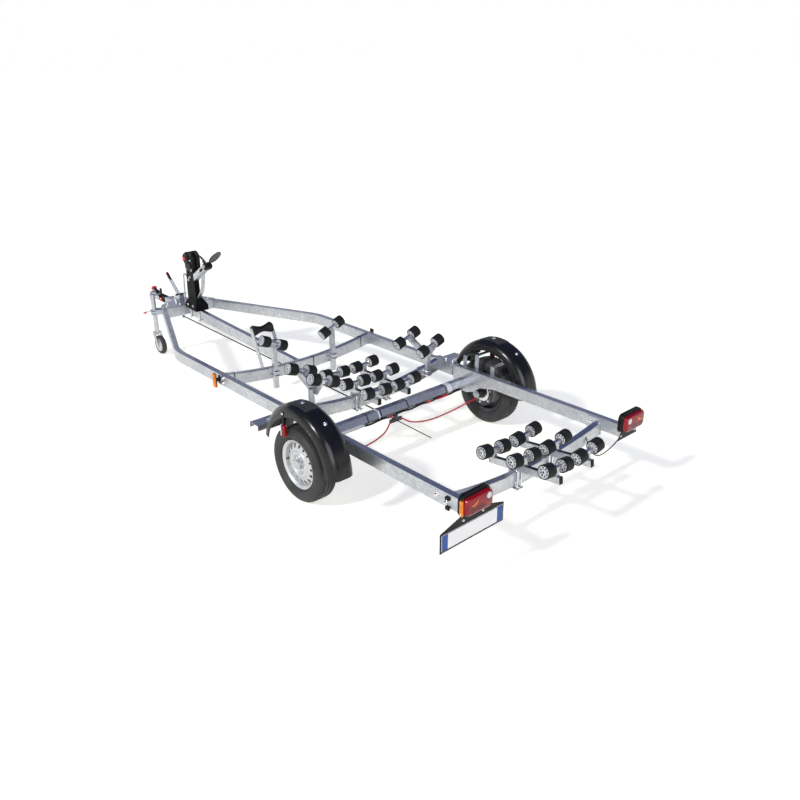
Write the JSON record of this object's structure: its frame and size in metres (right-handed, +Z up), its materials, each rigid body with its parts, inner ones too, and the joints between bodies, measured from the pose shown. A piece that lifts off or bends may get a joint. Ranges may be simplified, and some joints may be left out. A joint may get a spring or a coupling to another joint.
{
  "type": "boat trailer",
  "caption": "Single-axle braked boat trailer with a V-nosed tube frame, roller cradles, winch post with bow stop, mudguards, tail lamps and a jockey wheel.",
  "frame": {"origin": "on the ground under the middle of the trailer's length and width", "axes": "+X forward to the coupling, +Y to the left side, +Z up"},
  "size_m": [5.8682, 2.173, 1.1296],
  "materials": {
    "galvanised": "hot-dip galvanised",
    "dark_steel": "matt zinc",
    "rim_silver": "silver lacquer",
    "tyre_rubber": "matt",
    "roller_rubber": "matt",
    "black_plastic": "satin",
    "black_paint": "satin",
    "red_lens": "gloss",
    "amber_lens": "gloss",
    "white_plate": "satin",
    "red_cable": "satin"
  },
  "bodies": {
    "frame": {"side_rail_left": "galvanised", "side_rail_right": "galvanised", "drawbar": "galvanised", "front_beam": "galvanised", "cross_front": "galvanised", "cross_main": "galvanised", "cross_rear": "galvanised", "axle_tube": "galvanised", "swing_arms": "dark_steel", "mudguards": "black_plastic", "mudguard_stays": "galvanised", "lamp_housings": "black_plastic", "lamp_lenses": "red_lens", "plate_holder": "black_plastic", "number_plate": "white_plate", "marker_lamps": "amber_lens", "winch_post": "black_paint", "winch_housing": "black_paint", "bow_stop_arm": "galvanised", "bow_stop_pads": "black_plastic", "keel_bracket": "galvanised", "roller_posts": "galvanised", "cradles": "galvanised", "cradle_brackets": "galvanised", "coupling_head": "galvanised", "overrun_housing": "dark_steel", "overrun_bellows": "roller_rubber", "coupling_handle": "black_plastic", "brake_lever": "galvanised", "brake_rod": "dark_steel", "brake_cables": "red_cable", "lamp_lead": "black_plastic", "jockey_clamp": "dark_steel"},
    "wheel_left": {"rim_left": "rim_silver", "tyre_left": "tyre_rubber"},
    "wheel_right": {"rim_right": "rim_silver", "tyre_right": "tyre_rubber"},
    "jockey_leg": {"jockey_tube": "galvanised"},
    "jockey_swivel": {"jockey_fork": "galvanised"},
    "jockey_roll": {"jockey_wheel": "roller_rubber"},
    "keel_roll": {"keel_roller": "roller_rubber"},
    "front_rollers_left_body": {"front_rollers_left": "roller_rubber"},
    "front_rollers_right_body": {"front_rollers_right": "roller_rubber"},
    "side_rollers_left_1_body": {"side_rollers_left_1": "roller_rubber"},
    "side_rollers_left_2_body": {"side_rollers_left_2": "roller_rubber"},
    "side_rollers_right_1_body": {"side_rollers_right_1": "roller_rubber"},
    "side_rollers_right_2_body": {"side_rollers_right_2": "roller_rubber"},
    "mid_rollers_left_1_body": {"mid_rollers_left_1": "roller_rubber"},
    "mid_rollers_left_2_body": {"mid_rollers_left_2": "roller_rubber"},
    "mid_rollers_left_3_body": {"mid_rollers_left_3": "roller_rubber"},
    "mid_rollers_right_1_body": {"mid_rollers_right_1": "roller_rubber"},
    "mid_rollers_right_2_body": {"mid_rollers_right_2": "roller_rubber"},
    "mid_rollers_right_3_body": {"mid_rollers_right_3": "roller_rubber"},
    "rear_rollers_left_1_body": {"rear_rollers_left_1": "roller_rubber"},
    "rear_rollers_left_2_body": {"rear_rollers_left_2": "roller_rubber"},
    "rear_rollers_left_3_body": {"rear_rollers_left_3": "roller_rubber"},
    "rear_rollers_right_1_body": {"rear_rollers_right_1": "roller_rubber"},
    "rear_rollers_right_2_body": {"rear_rollers_right_2": "roller_rubber"},
    "rear_rollers_right_3_body": {"rear_rollers_right_3": "roller_rubber"}
  },
  "joints": [
    {"name": "wheel_left_spin", "type": "hinge", "parent": "frame", "child": "wheel_left", "pos_m": [-1.34406, 0.964, 0.281], "axis": [0, 1, 0], "continuous": true},
    {"name": "wheel_right_spin", "type": "hinge", "parent": "frame", "child": "wheel_right", "pos_m": [-1.34406, -0.964, 0.281], "axis": [0, 1, 0], "continuous": true},
    {"name": "jockey_lift", "type": "slide", "parent": "frame", "child": "jockey_leg", "axis": [0, 0, 1], "range_m": [0, 0.18]},
    {"name": "jockey_swivel_turn", "type": "hinge", "parent": "jockey_leg", "child": "jockey_swivel", "pos_m": [2.19594, 0.33148, 0.2], "axis": [0, 0, 1], "continuous": true},
    {"name": "jockey_wheel_spin", "type": "hinge", "parent": "jockey_swivel", "child": "jockey_roll", "pos_m": [2.14594, 0.33148, 0.1], "axis": [0, 1, 0], "continuous": true},
    {"name": "keel_roller_spin", "type": "hinge", "parent": "frame", "child": "keel_roll", "pos_m": [0.64594, 0, 0.56], "axis": [0, 1, 0], "continuous": true},
    {"name": "front_rollers_left_spin", "type": "hinge", "parent": "frame", "child": "front_rollers_left_body", "pos_m": [-0.02406, 0.311, 0.665], "axis": [0, 0.9205, 0.3907], "continuous": true},
    {"name": "front_rollers_right_spin", "type": "hinge", "parent": "frame", "child": "front_rollers_right_body", "pos_m": [-0.02406, -0.311, 0.665], "axis": [0, 0.9205, -0.3907], "continuous": true},
    {"name": "side_rollers_left_1_spin", "type": "hinge", "parent": "frame", "child": "side_rollers_left_1_body", "pos_m": [-0.76006, 0.549, 0.694], "axis": [0, 0.9426, 0.3338], "continuous": true},
    {"name": "side_rollers_left_2_spin", "type": "hinge", "parent": "frame", "child": "side_rollers_left_2_body", "pos_m": [-1.04606, 0.549, 0.694], "axis": [0, 0.9426, 0.3338], "continuous": true},
    {"name": "side_rollers_right_1_spin", "type": "hinge", "parent": "frame", "child": "side_rollers_right_1_body", "pos_m": [-0.76006, -0.549, 0.694], "axis": [0, 0.9426, -0.3338], "continuous": true},
    {"name": "side_rollers_right_2_spin", "type": "hinge", "parent": "frame", "child": "side_rollers_right_2_body", "pos_m": [-1.04606, -0.549, 0.694], "axis": [0, 0.9426, -0.3338], "continuous": true},
    {"name": "mid_rollers_left_1_spin", "type": "hinge", "parent": "frame", "child": "mid_rollers_left_1_body", "pos_m": [-0.66406, 0.154, 0.532], "axis": [0, 0.9976, 0.0698], "continuous": true},
    {"name": "mid_rollers_left_2_spin", "type": "hinge", "parent": "frame", "child": "mid_rollers_left_2_body", "pos_m": [-0.92206, 0.154, 0.532], "axis": [0, 0.9976, 0.0698], "continuous": true},
    {"name": "mid_rollers_left_3_spin", "type": "hinge", "parent": "frame", "child": "mid_rollers_left_3_body", "pos_m": [-1.18006, 0.154, 0.532], "axis": [0, 0.9976, 0.0698], "continuous": true},
    {"name": "mid_rollers_right_1_spin", "type": "hinge", "parent": "frame", "child": "mid_rollers_right_1_body", "pos_m": [-0.66406, -0.154, 0.532], "axis": [0, 0.9976, -0.0698], "continuous": true},
    {"name": "mid_rollers_right_2_spin", "type": "hinge", "parent": "frame", "child": "mid_rollers_right_2_body", "pos_m": [-0.92206, -0.154, 0.532], "axis": [0, 0.9976, -0.0698], "continuous": true},
    {"name": "mid_rollers_right_3_spin", "type": "hinge", "parent": "frame", "child": "mid_rollers_right_3_body", "pos_m": [-1.18006, -0.154, 0.532], "axis": [0, 0.9976, -0.0698], "continuous": true},
    {"name": "rear_rollers_left_1_spin", "type": "hinge", "parent": "frame", "child": "rear_rollers_left_1_body", "pos_m": [-2.38274, 0.163, 0.49492], "axis": [0.012, 0.9945, 0.1038], "continuous": true},
    {"name": "rear_rollers_left_2_spin", "type": "hinge", "parent": "frame", "child": "rear_rollers_left_2_body", "pos_m": [-2.63406, 0.163, 0.524], "axis": [0.012, 0.9945, 0.1038], "continuous": true},
    {"name": "rear_rollers_left_3_spin", "type": "hinge", "parent": "frame", "child": "rear_rollers_left_3_body", "pos_m": [-2.88538, 0.163, 0.55308], "axis": [0.012, 0.9945, 0.1038], "continuous": true},
    {"name": "rear_rollers_right_1_spin", "type": "hinge", "parent": "frame", "child": "rear_rollers_right_1_body", "pos_m": [-2.38274, -0.163, 0.49492], "axis": [-0.012, 0.9945, -0.1038], "continuous": true},
    {"name": "rear_rollers_right_2_spin", "type": "hinge", "parent": "frame", "child": "rear_rollers_right_2_body", "pos_m": [-2.63406, -0.163, 0.524], "axis": [-0.012, 0.9945, -0.1038], "continuous": true},
    {"name": "rear_rollers_right_3_spin", "type": "hinge", "parent": "frame", "child": "rear_rollers_right_3_body", "pos_m": [-2.88538, -0.163, 0.55308], "axis": [-0.012, 0.9945, -0.1038], "continuous": true}
  ]
}
